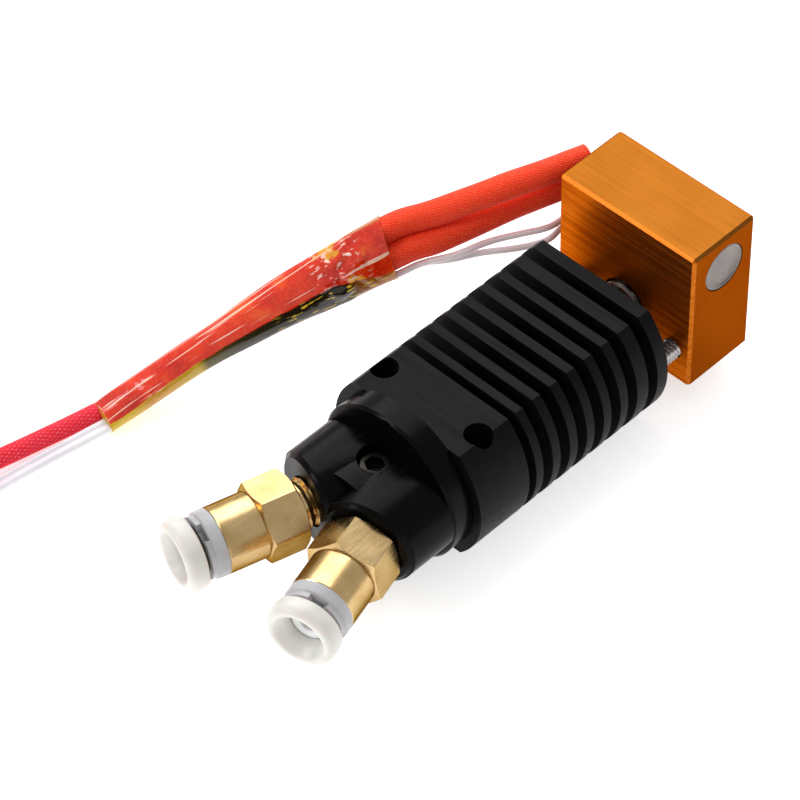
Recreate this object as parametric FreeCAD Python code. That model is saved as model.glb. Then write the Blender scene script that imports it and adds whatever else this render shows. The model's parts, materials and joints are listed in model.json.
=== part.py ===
import FreeCAD, Part
import math
import os
from FreeCAD import Matrix, Placement, Vector

# Hotend assembly that feeds two filaments into one nozzle, lying on its side.
# Frame, in millimetres: the origin is midway between the two mounting holes, on the lower flat of
# the heatsink. +X runs along the hotend's axis to the nozzle, +Z is square to the flats, and the
# cables leave the block on the +Y side. "Left" is +Y.

# Heatsink: a turned bar with two milled flats
SINK_RADIUS = 11.0
FLAT_HEIGHT = 7.75              # from the axis to each flat
AXIS_Z = FLAT_HEIGHT
END_HALF = 3.75                 # the solid end reaches this far each side of the mounting holes
CORE_RADIUS = 5.2
FIN_STEP = 2.7
FINS = [(4.85, 5.95)] + [(7.45 + FIN_STEP * i, 8.65 + FIN_STEP * i) for i in range(5)]
FINS += [(20.95, 22.75), (24.25, 25.9)]
SINK_HOT_END = FINS[-1][1]
MOUNT_HOLE_RADIUS = 1.6
MOUNT_HOLE_SPACING = 14.0
LINER_BORE = 2.08
SPIGOT_RADIUS = 4.9
SPIGOT_LENGTH = 5.0
FIT_GAP = 0.05                  # radial gap of fixed pieces in their bores

# Y adapter
FLANGE_RADIUS = 9.8
FLANGE_LENGTH = 2.9
FLANGE_FACE = -END_HALF - FLANGE_LENGTH
PIVOT_X = 0.75                  # the two filament paths meet here
BOSS_ANGLE = 16.0               # each path's angle to the hotend's axis
BOSS_RADIUS = 5.6
BOSS_END = 16.0                 # distance from the pivot to a boss's face
BOSS_CHAMFER = 0.5
FLANGE_CHAMFER = 0.3
LOBE_OFFSET = 4.25
HUB_RADIUS = 5.5
HUB_END = -13.0
SET_SCREW_X = -8.55
SET_SCREW_RADIUS = 2.0
SET_SCREW_SEAT = 1.9            # above the axis
SET_SCREW_TOP = 4.6
SET_SCREW_LENGTH = 2.5
SET_SCREW_SOCKET = 2.0
JUNCTION_END = 7.5              # where the two upper liners stop, from the pivot
CHANNEL_RADIUS = 1.2
CHANNEL_START = 3.0
LOWER_LINER_START = -2.1
LINER_SEAT = -2.2

# Heater block, its screws and what it holds
BLOCK_X = 30.75
BLOCK_LENGTH = 10.0
BLOCK_WIDTH = 20.0
BLOCK_HEIGHT = 20.0
BLOCK_Z = 0.82
BLOCK_EDGE = 0.35
CARTRIDGE_X = BLOCK_X + 5.1
CARTRIDGE_Z = BLOCK_Z + 15.5
CARTRIDGE_RADIUS = 3.0
CARTRIDGE_BORE = 3.06
STUD_RADIUS = 1.25              # M2.5
STUD_Y = 7.4
STUD_Z = 5.44
HEATER_SCREW_Y = 4.0
HEATER_SCREW_RADIUS = 1.5
SCREW_PROUD = 0.8
SMALL_SOCKET = 1.5
STUD_START = SINK_HOT_END - 1.0
STUD_END = BLOCK_X + BLOCK_LENGTH + 1.0
THREAD_RADIUS = 3.0             # M6
BREAK_START = 18.0
BREAK_POCKET_END = 2.0          # the liner's pocket in the heat break ends this far inside the heatsink
BREAK_NECK_RADIUS = 1.6
BREAK_NECK_START = SINK_HOT_END + 1.3
BREAK_NECK_END = BLOCK_X - 0.9
SENSOR_BORE = Vector(BLOCK_X + 5.0, 10.0, BLOCK_Z + 9.6)
SENSOR_BORE_RADIUS = 1.4
SENSOR_BORE_DEPTH = 6.0
NOZZLE_GAP = 0.2
NOZZLE_HEX = 7.0
NOZZLE_HEX_LENGTH = 3.0
NOZZLE_TIP = 6.4
NOZZLE_STEM = 4.8
NOZZLE_CONE = (3.2, 0.55)        # radii at the shoulder and at the tip
NOZZLE_HOLE = 0.2
HEX_EDGE = 0.3

# Push-fit fittings, measured from the rear of the hexagon outwards
LEFT_SEAT = 17.6                # hexagon's rear, from the pivot: this one is a turn and a half out
RIGHT_SEAT = 16.1
HEX_ACROSS = 8.2
HEX_LENGTH = 4.8
BARREL_RADIUS = 3.85
BARREL_END = 9.5
STEM_THREAD = 5.0
CHAMBER_RADIUS = 3.2
CHAMBER_START = 4.3
CHAMBER_GAP = 0.02
RING_LENGTH = 1.4
RING_BORE = 2.8
RING_SPIGOT = 1.2
RING_EDGE = 0.25
COLLAR_BACK = 12.05
COLLAR_FRONT = 14.4
COLLAR_RADIUS = 4.15
COLLAR_STEM = 2.55
COLLAR_STEM_END = 7.2
COLLAR_BORE = 2.15
COLLAR_EDGE = 0.6
COLLAR_SINK = 0.75              # countersink at its mouth
COLLAR_SINK_DEPTH = 1.3
COLLAR_SLIT = 0.5
COLLAR_ROOT = 1.2               # stem left whole behind the head
TUBE_RADIUS = 2.0               # 4 mm filament tube
TUBE_BORE = 1.0
LEFT_HEX_TURN = 41.9
RIGHT_HEX_TURN = 9.6
LEFT_TUBE_END = 26.0
RIGHT_TUBE_END = 28.3
GRIP_START = 6.0
GRIP_RADII = (2.06, 3.0, 3.1)    # inner edge, start of the flat rim, outer edge
GRIP_DISH = 0.35
GRIP_THICK = 0.2
O_RING_AT = 5.05
O_RING_RADII = (2.62, 0.55)

# Cables; TABLE_Z is the surface under the adapter's flange, the lowest piece
TABLE_Z = AXIS_Z - FLANGE_RADIUS
LEAD_DIAMETER = 0.8
SLEEVE_DIAMETER = 3.1
SENSOR_WIRE_DIAMETER = 0.8
HEATER_CABLE_DIAMETER = 2.2
SENSOR_CABLE_DIAMETER = 2.0
HEATER_Z = TABLE_Z + HEATER_CABLE_DIAMETER / 2 + 0.02
SENSOR_Z = TABLE_Z + SENSOR_CABLE_DIAMETER / 2 + 0.02

# Tape around the bundle: place, half width, half height and roll of each section
TAPE = [
    ((17.1, 23.4, 10.0), 3.75, 2.1, 55),
    ((10.8, 26.5, 7.6), 3.3, 2.0, 50),
    ((3.5, 29.7, 4.95), 2.7, 1.9, 35),
    ((-4.3, 32.3, 2.6), 2.2, 1.8, 20),
    ((-10.8, 34.0, 0.75), 2.2, 1.6, 10),
    ((-16.9, 35.2, -0.55), 2.25, 1.4, 0),
]
TAPE_LEAVES = (-6.1, 1.3, -0.2)  # the tape's direction at its last section
# Where each cable meets the tape's end face: (across, up), and its last straight run
UPPER_SLEEVE_AT = (1.93, 0.0)
LOWER_SLEEVE_AT = (-1.2, 0.0)
SENSOR_WIRE_A_AT = (-3.3, -0.25)
SENSOR_WIRE_B_AT = (-3.5, 0.7)
HEATER_CABLE_AT = (1.1, 0.0)
SENSOR_CABLE_AT = (-1.12, 0.2)
SLEEVE_RUN = 2.5
CABLE_RUN = 3.0

# Routes between their two ends, outwards from the block and then from the tape
HEATER_LEAD_UPPER = [(38.1, 10.0, 17.75), (38.1, 11.27, 17.8), (37.1, 11.6, 17.9)]
HEATER_LEAD_LOWER = [(35.7, 10.0, 15.2), (35.7, 11.7, 15.2), (34.7, 12.5, 14.7)]
UPPER_SLEEVE = [(37.1, 11.6, 17.9), (32.6, 13.1, 17.9), (26.8, 16.7, 16.3), (21.9, 21.4, 13.1)]
LOWER_SLEEVE = [(34.7, 12.5, 14.7), (32.6, 14.1, 13.8), (27.1, 17.2, 12.0), (21.5, 19.9, 10.3)]
SENSOR_WIRE_A = [(36.25, 10.0, 10.7), (36.25, 11.25, 10.7), (35.1, 12.0, 10.7), (33.7, 11.9, 10.6),
                 (31.4, 12.0, 10.5), (28.6, 13.9, 10.3), (25.3, 16.0, 10.0), (21.9, 17.5, 9.2)]
SENSOR_WIRE_B = [(35.25, 10.0, 9.8), (35.25, 11.35, 9.8), (34.1, 12.0, 9.7), (32.8, 11.7, 9.5),
                 (30.6, 11.5, 9.3), (27.6, 13.3, 9.1), (24.4, 16.2, 8.8), (21.6, 18.2, 8.2)]
HEATER_CABLE = [(-28.6, 39.2, HEATER_Z)]
SENSOR_CABLE = [(-26.1, 36.2, SENSOR_Z), (-30.8, 36.9, SENSOR_Z), (-35.2, 37.33, SENSOR_Z),
                (-38.1, 35.98, SENSOR_Z)]

# Put-away lengths: coil centre, middle radius, and the angles where the cord comes and goes
HEATER_COIL = (-36.1, 54.95)
HEATER_COIL_RADIUS = 11.0
HEATER_COIL_ENTRY = -105.0
HEATER_COIL_EXIT = -50.0
HEATER_LAYER = 2.25
SENSOR_COIL = (-54.1, 32.4)
SENSOR_COIL_RADIUS = 10.0
SENSOR_COIL_ENTRY = -30.0
SENSOR_COIL_EXIT = -140.0
SENSOR_LAYER = 1.15
COIL_TURNS_ACROSS = 3
COIL_TURNS_UP = 5
TURN_PITCH = 1.03               # in cord diameters
COIL_LEAD_IN = 8.1              # straight cord that belongs to the coil's solid, clear of its turns
COIL_CLIMB = 7.0
COIL_EXIT_TURN = 40.0           # how far inwards of the tangent the cord leaves, over the top
TAIL_RUNS = (1.8, 2.4)          # the cord's last runs, past the stub that climbs onto the coil
BOOT_LENGTH = 5.0
BOOT_RADIUS = 1.35
FERRULE_SIDE = 0.75
FERRULE_COLLAR = (0.7, 4.0)
FERRULE_PIN = (0.45, 6.0)
PLUG_SIZE = (14.0, 5.1, 2.6)
PLUG_CAVITY = 1.7
PLUG_BACK = 1.0                 # wall at its cable end
CONTACT_START = 1.5
CONTACT_SIZE = (10.0, 1.0, 1.0)
CONTACT_PITCH = 2.54

UP = Vector(0, 0, 1)
ALONG = Vector(1, 0, 0)
LEFT = Vector(0, 1, 0)
PARTS = {}


def save(name, shape):
    """Write one node's file and keep its shape."""
    PARTS[name] = shape
    shape.exportStep("parts/" + name + ".step")


def rod(radius, x0, x1, y=0.0, z=AXIS_Z):
    """A cylinder along the hotend's axis direction, from x0 to x1."""
    return Part.makeCylinder(radius, x1 - x0, Vector(x0, y, z), ALONG)


def turned(profile, base=Vector(0, 0, 0), axis=UP):
    """Revolve (radius, height) points, closed on the axis, about a line through base."""
    points = [Vector(r, 0, h) for r, h in profile]
    face = Part.Face(Part.makePolygon(points + [points[0]]))
    solid = face.revolve(Vector(0, 0, 0), UP, 360)
    solid.Placement = placed(base, axis)
    return solid


def placed(base, axis, up=None):
    """Placement that sends local Z to axis and local X as near to up as it can."""
    w = Vector(axis).normalize()
    hint = up or (UP if abs(w.z) < 0.9 else ALONG)
    u = (hint - w * hint.dot(w)).normalize()
    v = w.cross(u)
    return Placement(Matrix(u.x, v.x, w.x, base.x, u.y, v.y, w.y, base.y, u.z, v.z, w.z, base.z, 0, 0, 0, 1))


def hexagon(across, z0, z1, turn=0.0, edge=0.0):
    """A hexagonal prism along Z, its corners cut back by a cone at both ends."""
    corner = across / math.sqrt(3)
    points = []
    for i in range(7):
        angle = math.radians(turn + 60 * i)
        points.append(Vector(corner * math.cos(angle), corner * math.sin(angle), z0))
    prism = Part.Face(Part.makePolygon(points)).extrude(Vector(0, 0, z1 - z0))
    if not edge:
        return prism
    small = across / 2 - 0.05
    rise = (corner - small + 0.1) * 0.55
    cone = [(0, z0), (small, z0), (corner + 0.1, z0 + rise), (corner + 0.1, z1 - rise), (small, z1), (0, z1)]
    return prism.common(turned(cone))


# ---- heatsink and adapter ----

def heatsink():
    bar = rod(SINK_RADIUS, -END_HALF, END_HALF).fuse(rod(CORE_RADIUS, END_HALF, SINK_HOT_END))
    for start, end in FINS:
        bar = bar.fuse(rod(SINK_RADIUS, start, end))
    wide = 2 * SINK_RADIUS
    milled = Part.makeBox(wide * 2, wide, 2 * FLAT_HEIGHT, Vector(-END_HALF - 1, -SINK_RADIUS, 0))
    bar = bar.common(milled)
    bar = bar.cut(rod(LINER_BORE, -END_HALF, SINK_HOT_END))
    bar = bar.cut(rod(SPIGOT_RADIUS + FIT_GAP, -END_HALF, SPIGOT_LENGTH - END_HALF + FIT_GAP))
    bar = bar.cut(rod(THREAD_RADIUS, BREAK_START - FIT_GAP, SINK_HOT_END))
    for side in (-1, 1):
        foot = Vector(0, side * MOUNT_HOLE_SPACING / 2, -1)
        bar = bar.cut(Part.makeCylinder(MOUNT_HOLE_RADIUS, 2 * FLAT_HEIGHT + 2, foot))
        start = STUD_START - FIT_GAP
        bar = bar.cut(rod(STUD_RADIUS + FIT_GAP, start, SINK_HOT_END, side * STUD_Y, STUD_Z))
    return bar.removeSplitter()


def path_direction(side):
    """Unit vector of one filament path, outwards; side is +1 on the left."""
    angle = math.radians(BOSS_ANGLE)
    return Vector(-math.cos(angle), side * math.sin(angle), 0)


def path_point(side, distance):
    return Vector(PIVOT_X, 0, AXIS_Z) + path_direction(side) * distance


def path_rod(side, radius, start, end):
    return Part.makeCylinder(radius, end - start, path_point(side, start), path_direction(side))


def behind_both_faces(body, depth):
    """What is left of a body behind the end planes of both bosses."""
    for side in (-1, 1):
        body = body.common(path_rod(side, 4 * BOSS_RADIUS, 0, depth))
    return body


def adapter_lobe(side):
    """One boss with the straight flank that joins it to the flange."""
    boss = path_rod(side, BOSS_RADIUS, JUNCTION_END, BOSS_END)
    rim = boss.Edges[0]
    for edge in boss.Edges:
        outwards = (edge.CenterOfMass - path_point(side, BOSS_END)).Length
        if edge.Closed and outwards < 0.01:
            rim = edge
    boss = boss.makeChamfer(BOSS_CHAMFER, [rim])
    flank = rod(BOSS_RADIUS, -BOSS_END, FLANGE_FACE, side * LOBE_OFFSET)
    return behind_both_faces(boss, BOSS_END).fuse(behind_both_faces(flank, BOSS_END - BOSS_CHAMFER))


def y_adapter():
    body = rod(FLANGE_RADIUS, FLANGE_FACE, -END_HALF)
    body = body.makeChamfer(FLANGE_CHAMFER, [e for e in body.Edges
                                              if e.Closed and abs(e.CenterOfMass.x - FLANGE_FACE) < 0.01])
    body = body.fuse(rod(SPIGOT_RADIUS, -END_HALF, SPIGOT_LENGTH - END_HALF))
    body = body.fuse(rod(HUB_RADIUS, HUB_END, FLANGE_FACE))
    for side in (-1, 1):
        body = body.fuse(adapter_lobe(side))
    body = body.removeSplitter()
    for side in (-1, 1):
        body = body.cut(path_rod(side, CHANNEL_RADIUS, CHANNEL_START, JUNCTION_END))
        body = body.cut(path_rod(side, LINER_BORE, JUNCTION_END, BOSS_END + 1))
        body = body.cut(path_rod(side, THREAD_RADIUS, BOSS_END - STEM_THREAD - 0.6, BOSS_END + 1))
    body = body.cut(rod(LINER_BORE, LINER_SEAT, SPIGOT_LENGTH))
    seat = Vector(SET_SCREW_X, 0, AXIS_Z + SET_SCREW_SEAT)
    return body.cut(Part.makeCylinder(SET_SCREW_RADIUS, 2 * BOSS_RADIUS, seat))


def set_screw(radius, length, socket):
    """A socket set screw along Z with its driving end at z = 0, reaching down."""
    edge = 0.15 * radius
    body = turned([(0, -length), (radius - edge, -length), (radius, -length + edge), (radius, -edge),
                   (radius - edge, 0), (0, 0)])
    return body.cut(hexagon(socket, -0.55 * length, 1))


def adapter_set_screw():
    screw = set_screw(SET_SCREW_RADIUS - FIT_GAP, SET_SCREW_LENGTH, SET_SCREW_SOCKET)
    screw.translate(Vector(SET_SCREW_X, 0, AXIS_Z + SET_SCREW_TOP))
    return screw


# ---- hot end ----

def heater_block():
    corner = Vector(BLOCK_X, -BLOCK_WIDTH / 2, BLOCK_Z)
    block = Part.makeBox(BLOCK_LENGTH, BLOCK_WIDTH, BLOCK_HEIGHT, corner)
    block = block.makeChamfer(BLOCK_EDGE, block.Edges)
    side = Vector(CARTRIDGE_X, -BLOCK_WIDTH / 2 - 1, CARTRIDGE_Z)
    bore = Part.makeCylinder(CARTRIDGE_BORE, BLOCK_WIDTH + 2, side, LEFT)
    sensor = Part.makeCylinder(SENSOR_BORE_RADIUS, SENSOR_BORE_DEPTH + 1, SENSOR_BORE + LEFT, -LEFT)
    block = block.cut(bore).cut(sensor).cut(rod(THREAD_RADIUS, BLOCK_X - 1, STUD_END))
    for side in (-1, 1):
        block = block.cut(rod(STUD_RADIUS + FIT_GAP, BLOCK_X - 1, STUD_END, side * STUD_Y, STUD_Z))
    return block.cut(rod(HEATER_SCREW_RADIUS, CARTRIDGE_X, STUD_END, HEATER_SCREW_Y, CARTRIDGE_Z))


def heater_cartridge():
    edge = 0.3
    profile = [(0, 0), (CARTRIDGE_RADIUS - edge, 0), (CARTRIDGE_RADIUS, edge),
               (CARTRIDGE_RADIUS, BLOCK_WIDTH), (0, BLOCK_WIDTH)]
    return turned(profile, Vector(CARTRIDGE_X, -BLOCK_WIDTH / 2, CARTRIDGE_Z), LEFT)


def heater_set_screw():
    start = CARTRIDGE_X + CARTRIDGE_RADIUS + 2 * FIT_GAP
    end = BLOCK_X + BLOCK_LENGTH + SCREW_PROUD
    screw = set_screw(HEATER_SCREW_RADIUS - FIT_GAP, end - start, SMALL_SOCKET)
    screw.Placement = placed(Vector(end, HEATER_SCREW_Y, CARTRIDGE_Z), ALONG)
    return screw


def thermistor_bead():
    return Part.makeCylinder(SENSOR_BORE_RADIUS - 2 * FIT_GAP, SENSOR_BORE_DEPTH - 1, SENSOR_BORE, -LEFT)


def support_screws():
    studs = []
    for side in (-1, 1):
        stud = set_screw(STUD_RADIUS, STUD_END - STUD_START, SMALL_SOCKET)
        stud.Placement = placed(Vector(STUD_END, side * STUD_Y, STUD_Z), ALONG)
        studs.append(stud)
    return Part.makeCompound(studs)


def heat_break():
    thread = THREAD_RADIUS - FIT_GAP
    middle = BLOCK_X + BLOCK_LENGTH / 2
    neck = [(0, BREAK_START), (thread, BREAK_START), (thread, BREAK_NECK_START),
            (BREAK_NECK_RADIUS, BREAK_NECK_START), (BREAK_NECK_RADIUS, BREAK_NECK_END),
            (thread, BREAK_NECK_END), (thread, middle), (0, middle)]
    tube = turned(neck, Vector(0, 0, AXIS_Z), ALONG)
    tube = tube.cut(rod(TUBE_BORE, BREAK_START - 1, middle + 1))
    return tube.cut(rod(LINER_BORE, BREAK_START - 1, SINK_HOT_END - BREAK_POCKET_END))


def nozzle():
    face = BLOCK_X + BLOCK_LENGTH
    seat = face + NOZZLE_GAP
    shoulder = seat + NOZZLE_HEX_LENGTH
    tip = face + NOZZLE_TIP
    thread = THREAD_RADIUS - FIT_GAP
    stem = face - NOZZLE_STEM
    body = hexagon(NOZZLE_HEX, seat, shoulder, 30, HEX_EDGE)
    body = body.fuse(turned([(0, stem), (thread - 0.25, stem), (thread, stem + 0.3), (thread, seat),
                             (0, seat)]))
    body = body.fuse(turned([(0, shoulder), (NOZZLE_CONE[0], shoulder), (NOZZLE_CONE[1], tip), (0, tip)]))
    body = body.cut(turned([(0, stem - 1), (TUBE_BORE, stem - 1), (TUBE_BORE, tip - 2.0),
                            (NOZZLE_HOLE, tip - 0.8), (NOZZLE_HOLE, tip + 1), (0, tip + 1)]))
    body.Placement = placed(Vector(0, 0, AXIS_Z), ALONG)
    return body


# ---- push-fit fittings, built along Z from the rear of the hexagon ----

def fitting_body(turn):
    body = hexagon(HEX_ACROSS, 0, HEX_LENGTH, turn, HEX_EDGE)
    body = body.fuse(turned([(0, HEX_LENGTH), (BARREL_RADIUS, HEX_LENGTH), (BARREL_RADIUS, BARREL_END),
                             (0, BARREL_END)]))
    thread = THREAD_RADIUS - FIT_GAP
    body = body.fuse(turned([(0, -STEM_THREAD), (thread - 0.4, -STEM_THREAD), (thread, 0.4 - STEM_THREAD),
                             (thread, 0), (0, 0)]))
    body = body.cut(Part.makeCylinder(LINER_BORE, STEM_THREAD + BARREL_END, Vector(0, 0, -STEM_THREAD)))
    return body.cut(Part.makeCylinder(CHAMBER_RADIUS + CHAMBER_GAP, BARREL_END, Vector(0, 0, CHAMBER_START)))


def guide_ring():
    face = BARREL_END + RING_LENGTH
    inner = BARREL_END - RING_SPIGOT
    spigot = CHAMBER_RADIUS - CHAMBER_GAP
    return turned([(RING_BORE, inner), (spigot, inner), (spigot, BARREL_END),
                   (BARREL_RADIUS, BARREL_END), (BARREL_RADIUS, face - RING_EDGE),
                   (BARREL_RADIUS - RING_EDGE, face),
                   (RING_BORE, face)])


def release_collar():
    radius = COLLAR_RADIUS
    edge = COLLAR_EDGE
    mouth = COLLAR_BORE + COLLAR_SINK
    collar = turned([(COLLAR_BORE, COLLAR_STEM_END), (COLLAR_STEM - 0.25, COLLAR_STEM_END),
                     (COLLAR_STEM, COLLAR_STEM_END + 0.4), (COLLAR_STEM, COLLAR_BACK),
                     (radius - 0.2, COLLAR_BACK),
                     (radius, COLLAR_BACK + 0.2), (radius, COLLAR_FRONT - edge),
                     (radius - 0.18, COLLAR_FRONT - 0.18), (radius - edge, COLLAR_FRONT),
                     (mouth, COLLAR_FRONT),
                     (COLLAR_BORE, COLLAR_FRONT - COLLAR_SINK_DEPTH)])
    reach = COLLAR_BACK - COLLAR_STEM_END - COLLAR_ROOT
    for turn in (45, 135):
        corner = Vector(-COLLAR_SLIT / 2, -2 * COLLAR_STEM, COLLAR_STEM_END)
        slit = Part.makeBox(COLLAR_SLIT, 4 * COLLAR_STEM, reach, corner)
        slit.rotate(Vector(0, 0, 0), UP, turn)
        collar = collar.cut(slit)
    return collar


def grip_ring():
    """A thin dished steel washer whose inner edge bites the tube."""
    bite, bend, rim = GRIP_RADII
    dished = GRIP_START + GRIP_DISH
    return turned([(bite, GRIP_START), (bend, dished), (rim, dished), (rim, dished + GRIP_THICK),
                   (bend, dished + GRIP_THICK), (bite, GRIP_START + GRIP_THICK)])


def o_ring():
    return Part.makeTorus(O_RING_RADII[0], O_RING_RADII[1], Vector(0, 0, O_RING_AT))


def filament_liner(start, end):
    """A piece of 4 mm filament tube along Z."""
    tube = Part.makeCylinder(TUBE_RADIUS, end - start, Vector(0, 0, start))
    return tube.cut(Part.makeCylinder(TUBE_BORE, end - start, Vector(0, 0, start)))


def fittings():
    sides = [("left", 1, LEFT_SEAT, LEFT_HEX_TURN, LEFT_TUBE_END),
             ("right", -1, RIGHT_SEAT, RIGHT_HEX_TURN, RIGHT_TUBE_END)]
    for name, side, seat, turn, tube_end in sides:
        pieces = {"fitting_body": fitting_body(turn), "guide_ring": guide_ring(), "o_ring": o_ring(),
                  "grip_ring": grip_ring(), "release_collar": release_collar(),
                  "filament_liner": filament_liner(JUNCTION_END + 0.1 - seat, tube_end - seat)}
        for piece, shape in pieces.items():
            shape.Placement = placed(path_point(side, seat), path_direction(side)).multiply(shape.Placement)
            save(piece + "_" + name, shape)


def lower_liner():
    end = SINK_HOT_END - BREAK_POCKET_END - 0.1
    return rod(TUBE_RADIUS, LOWER_LINER_START, end).cut(rod(TUBE_BORE, LOWER_LINER_START, end))


# ---- cables ----

def bend_radius(before, corner, after):
    """Radius of the arc at one corner of a route, and the turn in radians."""
    first = corner - before
    second = after - corner
    turn = first.getAngle(second)
    return 0.45 * min(first.Length, second.Length) / math.tan(turn / 2), turn


def route_wire(points):
    """Straight runs joined by arcs tangent to both, and the radii."""
    edges = []
    radii = []
    start = points[0]
    for i in range(1, len(points) - 1):
        corner = points[i]
        back = (points[i - 1] - corner).normalize()
        ahead = (points[i + 1] - corner).normalize()
        radius, turn = bend_radius(points[i - 1], corner, points[i + 1])
        reach = radius * math.tan(turn / 2)
        middle = (back + ahead).normalize() * (radius / math.cos(turn / 2) - radius)
        entry = corner + back * reach
        leave = corner + ahead * reach
        edges.append(Part.LineSegment(start, entry).toShape())
        edges.append(Part.Arc(entry, corner + middle, leave).toShape())
        radii.append(radius)
        start = leave
    edges.append(Part.LineSegment(start, points[-1]).toShape())
    return Part.Wire(edges), radii


def cord_tube(name, points, diameter):
    """Sweep a round section along a route, and print what shows that it is sound."""
    points = [Vector(p) for p in points]
    wire, radii = route_wire(points)
    section = Part.Wire(Part.makeCircle(diameter / 2, points[0], points[1] - points[0]))
    tube = wire.makePipeShell([section], True, False)
    expected = math.pi * diameter ** 2 / 4 * wire.Length
    shown = " ".join("%.1f" % r for r in radii)
    facts = (name, wire.Length, tube.Volume, expected, shown)
    print("%s: length %.1f, volume %.3f of %.3f, radii %s" % facts)
    return tube


def tape_direction(index):
    """The tape's own direction at one of its sections."""
    here = [Vector(section[0]) for section in TAPE]
    if index == len(here) - 1:
        return Vector(TAPE_LEAVES).normalize()
    return (here[index + 1] - here[max(index - 1, 0)]).normalize()


def tape_frame(index):
    """Placement of one section: local X across, local Y up, local Z along the tape."""
    place, _, _, roll = TAPE[index]
    along = tape_direction(index)
    level = along.cross(UP).normalize()
    raised = level.cross(along)
    angle = math.radians(roll)
    across = level * math.cos(angle) + raised * math.sin(angle)
    return placed(Vector(place), along, across)


def tape_point(index, at, ahead=0.0):
    """A point on one section's plane, moved along the tape by ahead."""
    return tape_frame(index).multVec(Vector(at[0], at[1], ahead))


def tape_wrap():
    wires = []
    for index, (_, half_width, half_height, _) in enumerate(TAPE):
        ring = Part.Wire(Part.Ellipse(Vector(0, 0, 0), half_width, half_height).toShape())
        ring.Placement = tape_frame(index)
        wires.append(ring)
    return Part.makeLoft(wires, True, True)


def into_tape(route, at):
    """Close a route from the block with a straight run that meets the tape's first face."""
    return [Vector(p) for p in route] + [tape_point(0, at, -SLEEVE_RUN), tape_point(0, at)]


def out_of_tape(at, route):
    """Open a route with a straight run square to the tape's last face."""
    end = len(TAPE) - 1
    return [tape_point(end, at), tape_point(end, at, CABLE_RUN)] + [Vector(p) for p in route]


def coil_point(centre, radius, angle, z, ahead=0.0, inwards=0.0):
    """A point on a clockwise coil's turn, moved ahead, so many degrees inwards of the tangent."""
    a = math.radians(angle)
    way = math.radians(angle - inwards)
    x = centre[0] + radius * math.cos(a) + ahead * math.sin(way)
    y = centre[1] + radius * math.sin(a) - ahead * math.cos(way)
    return Vector(x, y, z)


class Coil:
    """A put-away round coil: its solid, and where the cord comes in low and goes out over the top."""

    def __init__(self, centre, radius, entry, leave, diameter, layer):
        self.centre = centre
        self.radius = radius
        self.diameter = diameter
        self.height = COIL_TURNS_UP * layer
        spread = (COIL_TURNS_ACROSS - 1) / 2 * diameter * TURN_PITCH
        self.outer = radius + spread
        self.inner = radius - spread
        low = TABLE_Z + diameter / 2 + 0.02
        top = TABLE_Z + self.height
        self.entry = coil_point(centre, self.outer, entry, low)
        self.entry_stub = coil_point(centre, self.outer, entry, low, -COIL_LEAD_IN)
        self.leave = coil_point(centre, self.inner, leave, top - diameter / 2)
        self.leave_stub = coil_point(centre, self.inner, leave, top + diameter / 2, COIL_CLIMB,
                                     COIL_EXIT_TURN)

    def solid(self):
        wall = self.diameter / 2
        base = Vector(self.centre[0], self.centre[1], TABLE_Z)
        ring = Part.makeCylinder(self.outer + wall, self.height, base)
        ring = ring.cut(Part.makeCylinder(self.inner - wall, self.height, base))
        for start, end in ((self.entry, self.entry_stub), (self.leave, self.leave_stub)):
            ring = ring.fuse(Part.makeCylinder(wall, (end - start).Length, start, end - start))
        turns = COIL_TURNS_ACROSS * COIL_TURNS_UP
        print("coil of %d turns, about %.0f of cord" % (turns, turns * 2 * math.pi * self.radius))
        return ring

    def tail(self):
        """The cord's last stretch, levelling out on top of the coil."""
        climb = (self.leave_stub - self.leave).normalize()
        level = Vector(climb.x, climb.y, 0).normalize()
        crest = self.leave_stub + climb * TAIL_RUNS[0]
        return [self.leave_stub, crest, crest + level * TAIL_RUNS[1]]


def cables():
    save("tape_wrap", tape_wrap())
    save("heater_lead_upper", cord_tube("heater_lead_upper", HEATER_LEAD_UPPER, LEAD_DIAMETER))
    save("heater_lead_lower", cord_tube("heater_lead_lower", HEATER_LEAD_LOWER, LEAD_DIAMETER))
    short = [("heater_sleeve_upper", UPPER_SLEEVE, UPPER_SLEEVE_AT, SLEEVE_DIAMETER),
             ("heater_sleeve_lower", LOWER_SLEEVE, LOWER_SLEEVE_AT, SLEEVE_DIAMETER),
             ("sensor_wire_a", SENSOR_WIRE_A, SENSOR_WIRE_A_AT, SENSOR_WIRE_DIAMETER),
             ("sensor_wire_b", SENSOR_WIRE_B, SENSOR_WIRE_B_AT, SENSOR_WIRE_DIAMETER)]
    for name, route, at, diameter in short:
        save(name, cord_tube(name, into_tape(route, at), diameter))
    heater = Coil(HEATER_COIL, HEATER_COIL_RADIUS, HEATER_COIL_ENTRY, HEATER_COIL_EXIT,
                  HEATER_CABLE_DIAMETER, HEATER_LAYER)
    sensor = Coil(SENSOR_COIL, SENSOR_COIL_RADIUS, SENSOR_COIL_ENTRY, SENSOR_COIL_EXIT,
                  SENSOR_CABLE_DIAMETER, SENSOR_LAYER)
    free = [("heater_cable", heater, HEATER_CABLE_AT, HEATER_CABLE),
            ("sensor_cable", sensor, SENSOR_CABLE_AT, SENSOR_CABLE)]
    for name, coil, at, route in free:
        save(name, cord_tube(name, out_of_tape(at, route) + [coil.entry_stub], coil.diameter))
        save(name + "_coil", coil.solid())
        save(name + "_tail", cord_tube(name + "_tail", coil.tail(), coil.diameter))
    heater_ends(heater.tail())
    sensor_ends(sensor.tail())


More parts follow.
